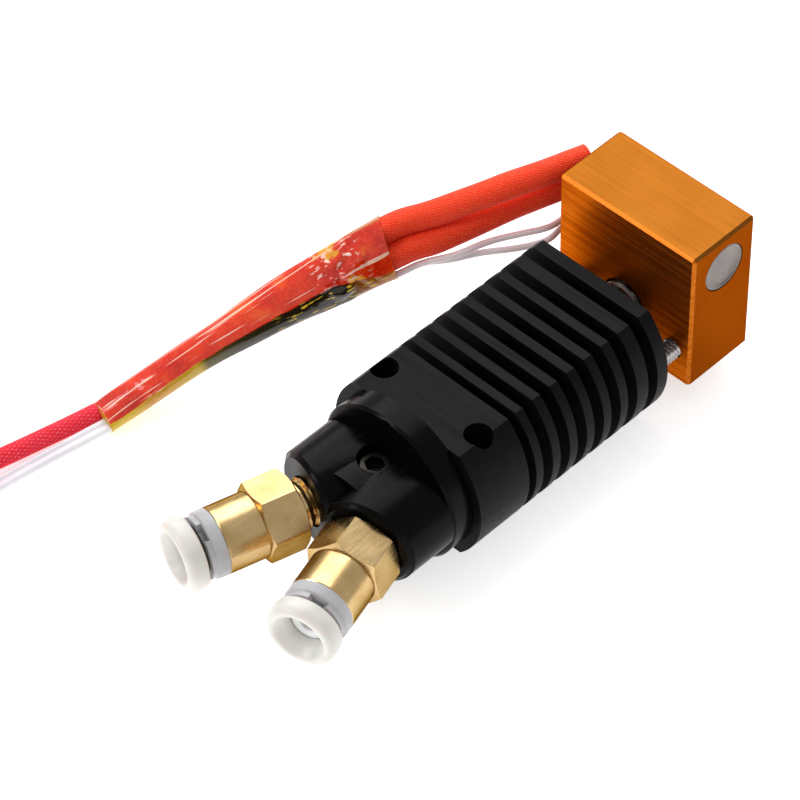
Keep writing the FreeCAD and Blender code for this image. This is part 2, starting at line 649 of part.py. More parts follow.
def heater_ends(tail):
    """The shrink boot and the two crimped ferrules on the heater cable's end."""
    frame = placed(tail[-1], tail[-1] - tail[-2])
    boot = Part.makeCylinder(BOOT_RADIUS, BOOT_LENGTH)
    boot.Placement = frame
    save("heater_cable_boot", boot)
    ferrules = []
    for side in (-1, 1):
        base = Vector(0, side * FERRULE_SIDE, BOOT_LENGTH)
        collar = Part.makeCylinder(FERRULE_COLLAR[0], FERRULE_COLLAR[1], base)
        pin = Part.makeCylinder(FERRULE_PIN[0], FERRULE_PIN[1], base + Vector(0, 0, FERRULE_COLLAR[1]))
        ferrule = collar.fuse(pin)
        ferrule.Placement = frame
        ferrules.append(ferrule)
    save("heater_ferrules", Part.makeCompound(ferrules))


def sensor_ends(tail):
    """The two-way plug on the sensor cable's end, with its contacts."""
    frame = placed(tail[-1], tail[-1] - tail[-2])
    length, width, height = PLUG_SIZE
    plug = Part.makeBox(height, width, length, Vector(-height / 2, -width / 2, 0))
    contacts = []
    for side in (-1, 1):
        reach, across, thick = CONTACT_SIZE
        centre = side * CONTACT_PITCH / 2
        corner = Vector(-PLUG_CAVITY / 2, centre - PLUG_CAVITY / 2, PLUG_BACK)
        cavity = Part.makeBox(PLUG_CAVITY, PLUG_CAVITY, length, corner)
        plug = plug.cut(cavity)
        contact = Part.makeBox(thick, across, reach, Vector(-thick / 2, centre - across / 2, CONTACT_START))
        contact.Placement = frame
        contacts.append(contact)
    plug.Placement = frame
    save("sensor_plug", plug)
    save("sensor_contacts", Part.makeCompound(contacts))


def main():
    os.makedirs("parts", exist_ok=True)
    save("heatsink", heatsink())
    save("y_adapter", y_adapter())
    save("adapter_set_screw", adapter_set_screw())
    save("heater_block", heater_block())
    save("heater_cartridge", heater_cartridge())
    save("heater_set_screw", heater_set_screw())
    save("thermistor_bead", thermistor_bead())
    save("support_screws", support_screws())
    save("heat_break", heat_break())
    save("nozzle", nozzle())
    save("filament_liner_lower", lower_liner())
    fittings()
    cables()
    for name, shape in PARTS.items():
        if not shape.isValid():
            print("invalid:", name)


main()
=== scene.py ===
import json
import math

import bmesh
import bpy
from mathutils import Matrix, Vector, noise

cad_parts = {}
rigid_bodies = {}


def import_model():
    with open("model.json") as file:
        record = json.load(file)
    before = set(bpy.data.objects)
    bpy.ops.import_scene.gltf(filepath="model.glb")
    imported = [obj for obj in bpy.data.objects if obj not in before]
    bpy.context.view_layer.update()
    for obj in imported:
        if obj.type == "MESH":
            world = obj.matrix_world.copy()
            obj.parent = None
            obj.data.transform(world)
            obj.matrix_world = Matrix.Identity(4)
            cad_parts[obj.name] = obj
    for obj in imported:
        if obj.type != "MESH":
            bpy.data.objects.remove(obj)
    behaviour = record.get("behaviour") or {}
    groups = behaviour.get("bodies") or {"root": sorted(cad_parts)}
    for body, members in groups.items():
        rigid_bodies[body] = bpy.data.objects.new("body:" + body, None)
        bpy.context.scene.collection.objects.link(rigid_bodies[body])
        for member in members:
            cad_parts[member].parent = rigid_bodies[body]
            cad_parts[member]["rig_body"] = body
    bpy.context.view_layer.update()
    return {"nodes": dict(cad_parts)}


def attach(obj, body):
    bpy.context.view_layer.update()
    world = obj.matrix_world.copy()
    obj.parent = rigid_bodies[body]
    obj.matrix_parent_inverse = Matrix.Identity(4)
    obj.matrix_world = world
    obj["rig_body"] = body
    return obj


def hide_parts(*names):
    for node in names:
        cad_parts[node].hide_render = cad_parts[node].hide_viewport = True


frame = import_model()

BODY = "hotend"
UP = Vector((0, 0, 1))

# Sizes of separate parts are in millimetres; MM turns them into the frame's metres.
MM = 0.001
CENTIMETRES = 100

# ---------------------------------------------------------------- camera

CAMERA_AZIMUTH = math.radians(-44.369)
CAMERA_ELEVATION = math.radians(47.432)
CAMERA_ROLL = math.radians(-1.478)
CAMERA_AT = Vector((-0.198740, -0.198461, 0.321455))
CAMERA_LENS = 175.19


def make_camera():
    az, el, roll = CAMERA_AZIMUTH, CAMERA_ELEVATION, CAMERA_ROLL
    level = Vector((math.cos(az), math.sin(az), 0))
    back = Vector((math.sin(az) * math.cos(el), -math.cos(az) * math.cos(el), math.sin(el)))
    above = back.cross(level)
    right = level * math.cos(roll) + above * math.sin(roll)
    up = above * math.cos(roll) - level * math.sin(roll)
    data = bpy.data.cameras.new("camera")
    data.lens = CAMERA_LENS
    data.clip_start = 0.01
    camera = bpy.data.objects.new("camera", data)
    camera.matrix_world = Matrix.Translation(CAMERA_AT) @ Matrix((right, up, back)).transposed().to_4x4()
    bpy.context.scene.collection.objects.link(camera)
    bpy.context.scene.camera = camera


make_camera()

# ---------------------------------------------------------------- mesh helpers


def placed(base, axis):
    """Matrix from local millimetres, Z along axis and X as near to up as it can be, to the frame."""
    w = Vector(axis).normalized()
    hint = UP if abs(w.z) < 0.9 else Vector((1, 0, 0))
    u = (hint - w * hint.dot(w)).normalized()
    v = w.cross(u)
    turn = Matrix((u, v, w)).transposed().to_4x4()
    return Matrix.Translation(Vector(base) * MM) @ turn @ Matrix.Scale(MM, 4)


def mesh_object(name, verts, faces, sharp=35.0):
    """A smooth-shaded mesh, its edges sharper than so many degrees left sharp."""
    mesh = bpy.data.meshes.new(name)
    mesh.from_pydata(verts, [], faces)
    mesh.validate()
    mesh.shade_smooth()
    mesh.set_sharp_from_angle(angle=math.radians(sharp))
    thing = bpy.data.objects.new(name, mesh)
    bpy.context.scene.collection.objects.link(thing)
    return thing


def value_at(number, angle):
    """A plain number, or what a function gives at that angle."""
    return number(angle) if callable(number) else number


def band(row, after, segments):
    """The faces between two rings of points."""
    low, high = row * segments, after * segments
    faces = []
    for k in range(segments):
        m = (k + 1) % segments
        faces.append((low + k, low + m, high + m, high + k))
    return faces


def end_caps(last, segments):
    """The faces that close the first and the last ring."""
    return [tuple(range(segments))[::-1], tuple(last * segments + k for k in range(segments))]


def wrap_uv(thing, name, segments, marks):
    """UV of a skin of rings: u once round, v the mark of each ring."""
    layer = thing.data.uv_layers.new(name=name)
    for face in thing.data.polygons:
        turns = [(thing.data.loops[j].vertex_index % segments) / segments for j in face.loop_indices]
        wraps = max(turns) - min(turns) > 0.5
        for j, turn in zip(face.loop_indices, turns):
            v = marks[thing.data.loops[j].vertex_index // segments]
            layer.data[j].uv = (turn + 1.0 if wraps and turn < 0.5 else turn, v)


def turned(name, rows, place, segments=96, closed=False, sharp=35.0):
    """A solid of rows of (radius, height); either may be a function of the angle round the axis."""
    verts, faces = [], []
    for radius, height in rows:
        for k in range(segments):
            a = math.tau * k / segments
            r = value_at(radius, a)
            verts.append(place @ Vector((r * math.cos(a), r * math.sin(a), value_at(height, a))))
    count = len(rows)
    for row in range(count if closed else count - 1):
        faces += band(row, (row + 1) % count, segments)
    if not closed:
        faces += end_caps(count - 1, segments)
    return mesh_object(name, verts, faces, sharp)


def hexagon_radius(across, turn=0.0):
    """Distance to a hexagon's outline at each angle; turn is a corner's angle in degrees."""
    def radius(a):
        part = (a - math.radians(turn)) % (math.pi / 3)
        return across / 2 / math.cos(part - math.pi / 6)
    return radius


def hexagon_rows(across, low, high, turn, cone):
    """Rows of a hexagonal prism whose corners a cone of that radius cuts back at both ends."""
    outline = hexagon_radius(across, turn)
    slope = 0.5
    rim = 0.02

    def cut(a):
        return max(0.0, (outline(a) - cone) * slope)
    lower = (outline, lambda a: low + rim + cut(a))
    upper = (outline, lambda a: high - rim - cut(a))
    return [(cone, low), lower, upper, (cone, high)]


ROWS_PER_PITCH = 8
CREST_SLOPE = 1.25
RUN_OUT_DEPTH = 0.7


def thread_rows(radius, depth, pitch, low, high):
    """Rows of a helical V thread, fading out at both ends."""
    rows = []
    count = max(2, round((high - low) / pitch * ROWS_PER_PITCH))
    for i in range(count + 1):
        z = low + (high - low) * i / count
        fade = min(1.0, (z - low) / pitch, (high - z) / pitch)

        def r(a, z=z, fade=fade):
            wave = abs(((z / pitch - a / math.tau) % 1.0) * 2 - 1)
            return radius - depth * (fade * min(1.0, wave * CREST_SLOPE) + (1 - fade) * RUN_OUT_DEPTH)
        rows.append((r, z))
    return rows


def frame_body(node):
    """The body a CAD node rides on."""
    return frame["nodes"][node]["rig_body"]


WELD_DISTANCE = 1e-6
FLAT_ANGLE = math.radians(1.5)
EDGE_ANGLE = math.radians(30.0)


def softened(node, width):
    """A copy of a CAD node with its edges rounded off, which replaces it."""
    source = frame["nodes"][node]
    bm = bmesh.new()
    bm.from_mesh(source.data)
    bmesh.ops.remove_doubles(bm, verts=bm.verts, dist=WELD_DISTANCE)
    bmesh.ops.dissolve_limit(bm, angle_limit=FLAT_ANGLE, verts=bm.verts, edges=bm.edges)
    mesh = bpy.data.meshes.new(node + "_look")
    bm.to_mesh(mesh)
    bm.free()
    thing = bpy.data.objects.new(node + "_look", mesh)
    bpy.context.scene.collection.objects.link(thing)
    bevel = thing.modifiers.new("edges", "BEVEL")
    bevel.width = width * MM
    bevel.segments = 2
    bevel.limit_method = "ANGLE"
    bevel.angle_limit = EDGE_ANGLE
    bevel.use_clamp_overlap = True
    flatten = thing.modifiers.new("flat faces", "WEIGHTED_NORMAL")
    flatten.weight = 100
    mesh.shade_smooth()
    depsgraph = bpy.context.evaluated_depsgraph_get()
    made = bpy.data.meshes.new_from_object(thing.evaluated_get(depsgraph), depsgraph=depsgraph)
    thing.modifiers.clear()
    thing.data = made
    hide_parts(node)
    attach(thing, frame_body(node))
    return thing


# ---------------------------------------------------------------- cords: lines and tubes

# Diameters and control points of the cords, in metres.
TABLE_Z = -0.00205
HEATER_CABLE_DIAMETER = 0.0022
SENSOR_CABLE_DIAMETER = 0.0020
SLEEVE_DIAMETER = 0.0031
SENSOR_WIRE_DIAMETER = 0.0008
LEAD_DIAMETER = 0.0008

UPPER_SLEEVE = [(0.03710, 0.01160, 0.01790), (0.03260, 0.01310, 0.01790), (0.02680, 0.01670, 0.01630),
                (0.02190, 0.02140, 0.01310), (0.01925, 0.02357, 0.01230), (0.01713, 0.02462, 0.01150),
                (0.01089, 0.02759, 0.00877)]
LOWER_SLEEVE = [(0.03470, 0.01250, 0.01470), (0.03260, 0.01410, 0.01380), (0.02710, 0.01720, 0.01200),
                (0.02150, 0.01990, 0.01030), (0.01920, 0.02160, 0.00988), (0.01708, 0.02264, 0.00907),
                (0.01320, 0.02465, 0.00775), (0.00800, 0.02735, 0.00620)]
SENSOR_WIRE_A = [(0.03625, 0.01000, 0.01070), (0.03625, 0.01125, 0.01070), (0.03510, 0.01200, 0.01070),
                 (0.03370, 0.01190, 0.01060), (0.03140, 0.01200, 0.01050), (0.02860, 0.01390, 0.01030),
                 (0.02530, 0.01600, 0.01000), (0.02190, 0.01750, 0.00920), (0.01904, 0.02011, 0.00839),
                 (0.01692, 0.02115, 0.00758), (0.01309, 0.02316, 0.00646), (0.00831, 0.02552, 0.00526)]
SENSOR_WIRE_B = [(0.03525, 0.01000, 0.00980), (0.03525, 0.01135, 0.00980), (0.03410, 0.01200, 0.00970),
                 (0.03280, 0.01170, 0.00950), (0.03060, 0.01150, 0.00930), (0.02760, 0.01330, 0.00910),
                 (0.02440, 0.01620, 0.00880), (0.02160, 0.01820, 0.00820), (0.01954, 0.02060, 0.00772),
                 (0.01742, 0.02165, 0.00691), (0.01356, 0.02371, 0.00588), (0.00873, 0.02606, 0.00473)]
LEAD_UPPER = [(0.03810, 0.01000, 0.01775), (0.03810, 0.01127, 0.01780), (0.03710, 0.01160, 0.01790)]
LEAD_LOWER = [(0.03570, 0.01000, 0.01520), (0.03570, 0.01170, 0.01520), (0.03470, 0.01250, 0.01470)]
HEATER_CABLE = [(-0.01667, 0.03628, -0.00055), (-0.01960, 0.03690, -0.00065), (-0.02860, 0.03920, -0.00093)]
SENSOR_CABLE = [(-0.01713, 0.03410, -0.00075), (-0.02006, 0.03473, -0.00095), (-0.02610, 0.03620, -0.00148),
                (-0.03080, 0.03690, -0.00153), (-0.03520, 0.03733, -0.00153), (-0.03810, 0.03598, -0.00153)]

TURN_PITCH = 1.03
COIL_TURNS_ACROSS = 3
COIL_TURNS_UP = 5
COIL_LEAD_IN = 0.0081
COIL_CLIMB = 0.007
COIL_EXIT_TURN = 40.0
TAIL_RUNS = (0.0018, 0.0024)
POINTS_PER_TURN = 24
LANE_CHANGE_AT = 0.72
LANE_CHANGE_TURNS = 0.2
LAST_CLIMB_TURNS = 0.16
COIL_CLEARANCE = 0.00002

# Angles in degrees; layer is how far apart the layers lie.
HEATER_COIL = {
    "centre": (-0.0361, 0.05495),
    "radius": 0.0110,
    "entry": -105.0,
    "leave": -50.0,
    "layer": 0.00225,
    "half_height": 0.0011,
}
SENSOR_COIL = {
    "centre": (-0.0541, 0.0324),
    "radius": 0.0100,
    "entry": -30.0,
    "leave": -140.0,
    "layer": 0.00115,
    "half_height": 0.0005,
}


def curve_object(name, points, diameter=0.0):
    """A curve of one open NURBS spline with those control points."""
    data = bpy.data.curves.new(name, "CURVE")
    data.dimensions = "3D"
    data.resolution_u = 10
    data.bevel_depth = diameter / 2
    data.bevel_resolution = 6
    data.use_fill_caps = True
    spline = data.splines.new("NURBS")
    spline.points.add(len(points) - 1)
    for point, place in zip(spline.points, points):
        point.co = (*place, 1)
    spline.order_u = 3
    spline.use_endpoint_u = True
    thing = bpy.data.objects.new(name, data)
    bpy.context.scene.collection.objects.link(thing)
    return thing


def line_of(points):
    """The smooth line of a NURBS spline with those control points."""
    thing = curve_object("route", points)
    depsgraph = bpy.context.evaluated_depsgraph_get()
    mesh = bpy.data.meshes.new_from_object(thing.evaluated_get(depsgraph), depsgraph=depsgraph)
    line = [v.co.copy() for v in mesh.vertices]
    bpy.data.objects.remove(thing)
    return line


def frames_along(line):
    """(point, across, over, along) at each point, turning as little as it can."""
    frames = []
    over = Vector(UP)
    for i, point in enumerate(line):
        along = (line[min(i + 1, len(line) - 1)] - line[max(i - 1, 0)]).normalized()
        over = (over - along * over.dot(along)).normalized()
        frames.append((point, along.cross(over), over, along))
    return frames


def tube_mesh(name, line, section, segments, keep_up=False):
    """A closed tube; section(angle, distance) gives (across, over) in metres. V is in centimetres."""
    verts, faces, marks = [], [], []
    distance = 0.0
    frames = frames_along(line)
    for i, (point, across, over, along) in enumerate(frames):
        if keep_up:
            over = (UP - along * UP.dot(along)).normalized()
            across = along.cross(over)
        if i:
            distance += (point - line[i - 1]).length
        for k in range(segments):
            x, y = section(math.tau * k / segments, distance)
            verts.append(point + across * x + over * y)
        marks.append(distance * CENTIMETRES)
    for i in range(len(line) - 1):
        faces += band(i, i + 1, segments)
    faces += end_caps(len(line) - 1, segments)
    thing = mesh_object(name, verts, faces, sharp=60.0)
    wrap_uv(thing, "route", segments, marks)
    return thing


def round_section(radius):
    """The section of a round cord."""
    return lambda a, distance: (radius * math.cos(a), radius * math.sin(a))


def coil_point(coil, radius, angle, z, ahead=0.0, inwards=0.0):
    """A point on a clockwise turn, moved ahead, so many degrees inwards of the tangent."""
    a, way = math.radians(angle), math.radians(angle - inwards)
    x, y = coil["centre"]
    x += radius * math.cos(a) + ahead * math.sin(way)
    y += radius * math.sin(a) - ahead * math.cos(way)
    return x, y, z


def coil_route(coil, diameter):
    """Control points of the put-away length, in low and out over the top; then its end and its way."""
    pitch = diameter * TURN_PITCH
    spread = (COIL_TURNS_ACROSS - 1) / 2 * pitch
    half = coil["half_height"]
    low = TABLE_Z + half + COIL_CLEARANCE
    top = TABLE_Z + COIL_TURNS_UP * coil["layer"]
    outer = coil["radius"] + spread
    points = [coil_point(coil, outer, coil["entry"], low, -COIL_LEAD_IN * f) for f in (1, 0.5)]
    extra = (coil["entry"] - coil["leave"]) % 360 / 360
    lanes = []
    for layer in range(COIL_TURNS_UP):
        across = range(COIL_TURNS_ACROSS)
        for lane in (across if layer % 2 == 0 else reversed(across)):
            lanes.append((outer - lane * pitch, low + layer * coil["layer"]))
    turns = len(lanes) - 1 + extra
    steps = round(turns * POINTS_PER_TURN)
    for i in range(steps - 1):
        turn = turns * i / steps
        lane = min(int(turn), len(lanes) - 1)
        after = min(lane + 1, len(lanes) - 1)
        t = min(1.0, max(0.0, (turn - lane - LANE_CHANGE_AT) / LANE_CHANGE_TURNS))
        t = t * t * (3 - 2 * t)
        radius = lanes[lane][0] * (1 - t) + lanes[after][0] * t
        z = lanes[lane][1] * (1 - t) + lanes[after][1] * t
        climb = max(0.0, 1 - (turns - turn) / LAST_CLIMB_TURNS)
        points.append(coil_point(coil, radius, coil["entry"] - 360 * turn, z + climb * 1.2 * half))
    inner = coil["radius"] - spread
    crest = Vector(coil_point(coil, inner, coil["leave"], top + half, COIL_CLIMB, COIL_EXIT_TURN))
    start = Vector(coil_point(coil, inner, coil["leave"], top - half))
    slope = (crest - start).normalized()
    level = Vector((slope.x, slope.y, 0)).normalized()
    end = crest + slope * TAIL_RUNS[0] + level * TAIL_RUNS[1]
    points.append(tuple(start + UP * half * 1.5))
    points.append(tuple(start + level * COIL_CLIMB * 0.55 + UP * half * 2.0))
    points.append(tuple(crest + UP * 0.0001))
    points.append(tuple(end - level * TAIL_RUNS[1]))
    points.append(tuple(end))
    return points, end, level


# ---------------------------------------------------------------- materials


def srgb(r, g, b):
    """A linear colour from 8-bit screen values."""
    return tuple(((c / 255 + 0.055) / 1.055) ** 2.4 for c in (r, g, b)) + (1.0,)


def grey(level):
    """A linear grey."""
    return (level, level, level, 1.0)


class Finish:
    """A node material on one Principled shader, with short ways to add textures to it."""

    def __init__(self, name, **sockets):
        self.material = bpy.data.materials.new(name)
        self.material.use_nodes = True
        self.tree = self.material.node_tree
        self.shader = self.tree.nodes["Principled BSDF"]
        for socket, value in sockets.items():
            self.shader.inputs[socket.replace("_", " ")].default_value = value

    def add(self, kind, values=(), **settings):
        node = self.tree.nodes.new(kind)
        for name, value in settings.items():
            setattr(node, name, value)
        for key, value in dict(values).items():
            if isinstance(value, bpy.types.NodeSocket):
                self.tree.links.new(value, node.inputs[key])
            else:
                node.inputs[key].default_value = value
        return node

    def place(self, stretch=(1, 1, 1), uv=False):
        source = self.add("ShaderNodeTexCoord").outputs["UV" if uv else "Object"]
        return self.add("ShaderNodeMapping", {"Vector": source, "Scale": stretch}).outputs["Vector"]

    def noise(self, scale, stretch=(1, 1, 1), detail=3.0, uv=False, rough=0.5):
        values = {"Vector": self.place(stretch, uv), "Scale": scale, "Detail": detail, "Roughness": rough}
        return self.add("ShaderNodeTexNoise", values).outputs["Fac"]

    def maths(self, operation, a, b=0.0, c=0.0):
        return self.add("ShaderNodeMath", {0: a, 1: b, 2: c}, operation=operation).outputs[0]

    def span(self, value, low, high, start=0.3, stop=0.7):
        """The value's range from start to stop stretched to low and high."""
        values = {"Value": value, "From Min": start, "From Max": stop, "To Min": low, "To Max": high}
        return self.add("ShaderNodeMapRange", values).outputs["Result"]

    def ramp(self, value, *stops):
        node = self.add("ShaderNodeValToRGB", {"Fac": value})
        ramp = node.color_ramp
        while len(ramp.elements) < len(stops):
            ramp.elements.new(0.5)
        for element, (place, colour) in zip(ramp.elements, stops):
            element.position = place
            element.color = colour
        return node.outputs["Color"]

    def mix(self, share, a, b):
        node = self.add("ShaderNodeMix", {"Factor": share}, data_type="RGBA")
        for key, value in ((6, a), (7, b)):
            if isinstance(value, bpy.types.NodeSocket):
                self.tree.links.new(value, node.inputs[key])
            else:
                node.inputs[key].default_value = value
        return node.outputs[2]

    def feed(self, socket, value):
        self.tree.links.new(value, self.shader.inputs[socket])

    def bump(self, height, distance, strength=1.0):
        """Relief of so many millimetres."""
        values = {"Height": height, "Distance": distance * MM, "Strength": strength}
        if self.shader.inputs["Normal"].is_linked:
            values["Normal"] = self.shader.inputs["Normal"].links[0].from_socket
        self.feed("Normal", self.add("ShaderNodeBump", values).outputs["Normal"])


def metal(name, dark, light, rough, grain=(1, 1, 1), grain_scale=3000.0, grain_depth=0.004, **sockets):
    """A metal with cloudy colour, uneven gloss and a fine directional grain."""
    look = Finish(name, Metallic=1.0, **sockets)
    cloud = look.noise(260.0)
    look.feed("Base Color", look.ramp(cloud, (0.3, dark), (0.7, light)))
    fine = look.noise(grain_scale, grain, 2.0)
    look.feed("Roughness", look.span(fine, rough * 0.8, rough * 1.25))
    look.bump(fine, grain_depth, 0.6)
    return look


def plastic(name, dark, light, rough, speckle=1500.0, depth=0.01, **sockets):
    """A moulded or coated surface with faint mottling."""
    look = Finish(name, **sockets)
    look.feed("Base Color", look.ramp(look.noise(320.0), (0.35, dark), (0.65, light)))
    fine = look.noise(speckle, (1, 1, 1), 2.0)
    look.feed("Roughness", look.span(fine, rough * 0.85, rough * 1.2))
    look.bump(fine, depth, 0.4)
    return look


def black_anodised():
    look = Finish("black_anodised_look", Specular_IOR_Level=0.2, IOR=1.25)
    cloud = look.noise(300.0)
    look.feed("Base Color", look.ramp(cloud, (0.3, srgb(7, 7, 9)), (0.7, srgb(12, 12, 15))))
    grain = look.noise(1800.0, (1.0, 0.06, 1.0), 2.0)
    look.feed("Roughness", look.span(grain, 0.36, 0.5))
    look.bump(grain, 0.006, 0.5)
    return look.material


def black_adapter():
    look = Finish("black_adapter_look", Specular_IOR_Level=0.13, IOR=1.3)
    cloud = look.noise(300.0)
    look.feed("Base Color", look.ramp(cloud, (0.3, srgb(3, 3, 4)), (0.7, srgb(6, 6, 7))))
    turning = look.noise(2600.0, (1.0, 0.08, 0.08), 2.0)
    look.feed("Roughness", look.span(turning, 0.2, 0.3))
    look.bump(turning, 0.004, 0.5)
    return look.material


def orange_anodised():
    look = Finish("orange_anodised_look", Metallic=1.0, Specular_Tint=srgb(214, 132, 70))
    streaks = look.noise(4200.0, (1.0, 0.012, 1.0), 4.0, rough=0.65)
    cloud = look.noise(180.0)
    normal = look.add("ShaderNodeNewGeometry").outputs["Normal"]
    facing = look.maths("ABSOLUTE", look.add("ShaderNodeSeparateXYZ", {"Vector": normal}).outputs["X"])
    # Faces turned to ±X get real brushed streaks on a lighter base, and the lighter base is painted light;
    # other faces keep the even base.
    brushed_and_lit = look.ramp(streaks, (0.36, srgb(168, 82, 22)), (0.64, srgb(226, 126, 44)))
    even = look.ramp(cloud, (0.3, srgb(132, 78, 26)), (0.7, srgb(139, 84, 30)))
    look.feed("Base Color", look.mix(facing, even, brushed_and_lit))
    look.feed("Roughness", look.span(streaks, 0.34, 0.46))
    look.bump(streaks, 0.006, 0.7)
    return look.material


def brass(name, dark, light, rough):
    """Turned and drawn brass with fine lathe lines and small marks."""
    look = metal(name, dark, light, rough, (0.15, 1.0, 1.0), 2600.0, 0.006, Specular_Tint=srgb(120, 98, 70))
    marks = look.noise(900.0, (1, 1, 1), 4.0, rough=0.7)
    look.bump(look.span(marks, 0.0, 1.0, 0.58, 0.66), 0.004, 0.3)
    return look.material


def braid(name, dark, light, fleck_and_highlight, carriers, pitch):
    """A woven sleeve: two sets of strands cross, UV u once round and v in centimetres."""
    look = Finish(name, Roughness=0.6, Specular_IOR_Level=0.2, Sheen_Weight=0.05, Sheen_Roughness=0.4)
    place = look.add("ShaderNodeSeparateXYZ", {"Vector": look.place(uv=True)})
    u, v = place.outputs["X"], place.outputs["Y"]
    along = look.maths("MULTIPLY", v, pitch)
    strands = []
    for way in (1.0, -1.0):
        phase = look.maths("MULTIPLY_ADD", u, carriers, look.maths("MULTIPLY", along, way))
        strands.append(look.maths("SINE", look.maths("MULTIPLY", phase, math.tau)))
    over = look.maths("MULTIPLY", strands[0], strands[1])
    high = look.maths("MAXIMUM", strands[0], strands[1])
    height = look.maths("MULTIPLY_ADD", high, 0.6, look.maths("MULTIPLY", over, 0.4))
    fibres = look.noise(5000.0, (1, 1, 1), 3.0)
    # Colour follows strand height: crests painted lighter and the gaps between strands painted darker, as
    # shade; fibre noise adds random flecks.
    painted_weave_shade = look.maths("MULTIPLY_ADD", fibres, 0.5, look.maths("MULTIPLY_ADD", height, 0.28, 0.22))
    body = look.ramp(painted_weave_shade, (0.2, dark), (0.62, light), (0.86, fleck_and_highlight))
    look.feed("Base Color", body)
    look.bump(height, 0.05, 0.7)
    look.bump(fibres, 0.02, 0.5)
    return look.material


def tape_film():
    """Amber film over red sleeves and dark glue: UV u across from back to back, v along."""
    look = Finish("amber_tape_look", Coat_Weight=0.8, Coat_IOR=1.6, Coat_Roughness=0.04,
                  Specular_IOR_Level=0.1)
    place = look.add("ShaderNodeSeparateXYZ", {"Vector": look.place(uv=True)})
    u, v = place.outputs["X"], place.outputs["Y"]
    cloud = look.noise(300.0, (1, 1, 1), 3.0)
    creases = look.noise(300.0, (0.35, 1.2, 1.0), 3.0, rough=0.6)
    weave = look.noise(3200.0, (1, 1, 1), 3.0)
    painted_highlight_streaks = look.noise(1.0, (34.0, 3.0, 1.0), 1.5, uv=True)
    edge = look.maths("MULTIPLY_ADD", look.maths("SUBTRACT", cloud, 0.5), 0.06, u)

    reds = ((0.3, srgb(198, 24, 0)), (0.55, srgb(226, 46, 0)), (0.75, srgb(242, 92, 14)))
    upper = look.ramp(cloud, *reds)
    upper = look.mix(look.span(weave, 0.0, 0.16, 0.5, 0.7), upper, srgb(250, 140, 90))
    ambers = ((0.4, srgb(196, 92, 10)), (0.62, srgb(236, 160, 36)), (0.7, srgb(250, 206, 96)))
    amber = look.ramp(creases, *ambers)
    top = look.maths("MULTIPLY_ADD", v, 0.25, edge)
    upper = look.mix(look.span(top, 0.7, 0.0, 0.35, 0.365), upper, srgb(176, 112, 34))
    knot_starts = look.span(v, 0.0, 1.0, 0.08, 0.12)
    knot = look.maths("MULTIPLY", knot_starts, look.span(v, 1.0, 0.0, 0.22, 0.26))
    torn = look.maths("MULTIPLY", knot, look.span(creases, 0.0, 1.0, 0.54, 0.57))
    upper = look.mix(torn, upper, amber)
    # Thin pale streaks along the film: painted highlight, standing in for a light's reflections in its
    # creases.
    upper = look.mix(look.span(painted_highlight_streaks, 0.0, 0.8, 0.605, 0.635), upper, srgb(255, 214, 190))

    strip = look.ramp(v, (0.0, srgb(196, 112, 26)), (0.13, srgb(150, 84, 18)), (0.17, srgb(38, 27, 10)),
                      (0.36, srgb(30, 24, 10)), (0.5, srgb(52, 44, 18)), (0.6, srgb(92, 78, 24)),
                      (0.63, srgb(196, 160, 30)), (0.82, srgb(200, 140, 36)), (0.9, srgb(214, 178, 32)))
    glints = look.span(look.noise(1.0, (60.0, 22.0, 1.0), 2.0, uv=True), 0.0, 1.0, 0.6, 0.63)
    early = look.span(v, 1.0, 0.0, 0.3, 0.42)
    strip = look.mix(look.maths("MULTIPLY", glints, early), strip, srgb(224, 186, 52))
    start = look.ramp(v, (0.0, grey(0.67)), (0.12, grey(0.61)), (0.2, grey(0.565)))
    low = look.span(look.maths("SUBTRACT", edge, start), 0.0, 1.0, 0.0, 0.006)
    film = look.mix(low, upper, strip)

    glare = look.span(look.noise(1.0, (44.0, 34.0, 1.0), 2.0, uv=True), 0.0, 0.85, 0.6, 0.62)
    front = look.maths("MULTIPLY", knot, look.span(low, 1.0, 0.0, 0.0, 1.0))
    glare = look.maths("MULTIPLY", glare, front)
    look.feed("Base Color", look.mix(glare, film, srgb(250, 206, 190)))
    look.feed("Roughness", look.span(cloud, 0.22, 0.4))
    look.bump(creases, 0.04, 0.4)
    return look.material


STEEL = metal("steel_look", srgb(150, 148, 146), srgb(196, 194, 192), 0.3).material
DULL_STEEL = metal("dull_steel_look", srgb(104, 98, 95), srgb(124, 118, 114), 0.36).material
BLACK_STEEL = metal("black_steel_look", srgb(40, 38, 36), srgb(66, 63, 60), 0.32).material
TIN = metal("tin_look", srgb(176, 178, 182), srgb(214, 215, 218), 0.3).material
BRASS = brass("brass_look", srgb(188, 156, 104), srgb(216, 186, 136), 0.26)
WHITE_RING = plastic("white_ring_look", srgb(170, 169, 172), srgb(186, 185, 187), 0.4,
                     Subsurface_Weight=0.2, Subsurface_Scale=0.0008).material
COLLAR = plastic("translucent_collar_look", srgb(212, 211, 204), srgb(224, 223, 217), 0.34,
                 Subsurface_Weight=0.35, Subsurface_Scale=0.0012).material
